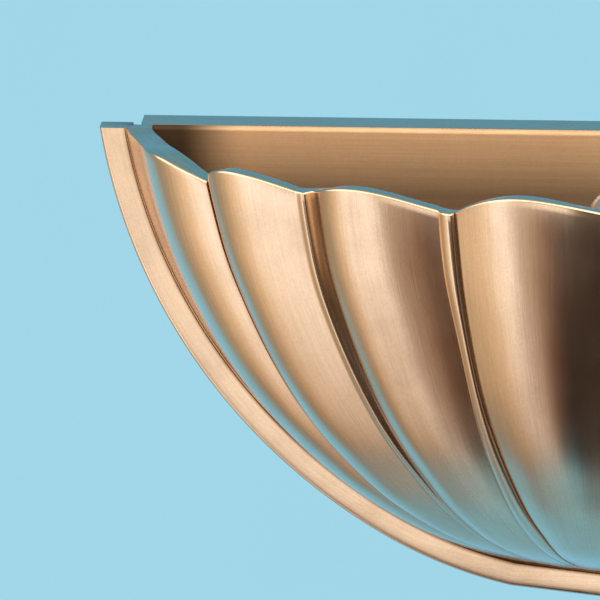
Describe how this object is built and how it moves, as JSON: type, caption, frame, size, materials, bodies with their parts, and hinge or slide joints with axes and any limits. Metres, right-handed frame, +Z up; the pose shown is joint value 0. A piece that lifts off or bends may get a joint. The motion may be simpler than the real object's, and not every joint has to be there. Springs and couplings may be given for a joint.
{
  "type": "shell wall sconce",
  "caption": "Wall uplighter with a fluted half-bowl shell casting in antique brass on a half-moon back pan, open at the top, holding a small capsule lamp.",
  "frame": {"origin": "centre between the two wall screw slots, on the wall plane", "axes": "+X to the light's right hand side seen from the room, +Y into the wall, +Z up"},
  "size_m": [0.2992, 0.1056, 0.1456],
  "materials": {
    "antique_brass": "satin, brushed and lacquered",
    "brass_pan": "satin, brushed sideways",
    "brass_fixing": "turned, satin",
    "plated_steel": "zinc plated",
    "stainless_steel": "turned",
    "grommet_rubber": "matt black",
    "holder_ceramic": "unglazed, off-white",
    "lamp_ceramic": "unglazed, white",
    "lamp_glass": "clear",
    "tinned_contacts": "tinned",
    "filament_wire": "drawn",
    "block_plastic": "moulded, off-white",
    "live_insulation": "brown",
    "neutral_insulation": "blue",
    "earth_insulation": "green with yellow stripes",
    "heat_sleeve": "braided glass fibre"
  },
  "bodies": {
    "wall_unit": {"wall_bracket": "plated_steel", "back_pan": "brass_pan", "pan_studs": "plated_steel", "pan_washers": "brass_fixing", "pan_dome_nuts": "brass_fixing", "cable_grommet": "grommet_rubber", "earth_screw": "brass_fixing", "earth_tag": "tinned_contacts", "lampholder_arm": "plated_steel", "arm_screws": "plated_steel", "arm_nuts": "plated_steel", "lead_grommet": "grommet_rubber", "lampholder_body": "holder_ceramic", "lampholder_contacts": "tinned_contacts", "lampholder_screws": "plated_steel", "lampholder_nuts": "plated_steel", "terminal_block": "block_plastic", "terminal_screws": "stainless_steel", "block_screw": "plated_steel", "live_wire": "live_insulation", "neutral_wire": "neutral_insulation", "earth_wire": "earth_insulation", "lead_sleeve": "heat_sleeve", "shell_bushes": "brass_fixing"},
    "shell": {"shell_casting": "antique_brass", "thumb_washers": "brass_fixing"},
    "thumb_left": {"thumbscrew_left": "brass_fixing", "screw_clip_left": "stainless_steel"},
    "thumb_right": {"thumbscrew_right": "brass_fixing", "screw_clip_right": "stainless_steel"},
    "lamp": {"lamp_glass": "lamp_glass", "lamp_base": "lamp_ceramic", "lamp_pins": "tinned_contacts", "filament_posts": "filament_wire", "lamp_filament": "filament_wire"}
  },
  "joints": [
    {"name": "shell_pull", "type": "slide", "parent": "wall_unit", "child": "shell", "axis": [0, -1, 0], "range_m": [0, 0.12]},
    {"name": "thumb_left_turn", "type": "hinge", "parent": "shell", "child": "thumb_left", "pos_m": [-0.107, -0.017, -0.006], "axis": [0, -1, 0], "continuous": true},
    {"name": "thumb_right_turn", "type": "hinge", "parent": "shell", "child": "thumb_right", "pos_m": [0.107, -0.017, -0.006], "axis": [0, -1, 0], "continuous": true},
    {"name": "lamp_pull", "type": "slide", "parent": "wall_unit", "child": "lamp", "axis": [0, 0, 1], "range_m": [0, 0.03]}
  ]
}
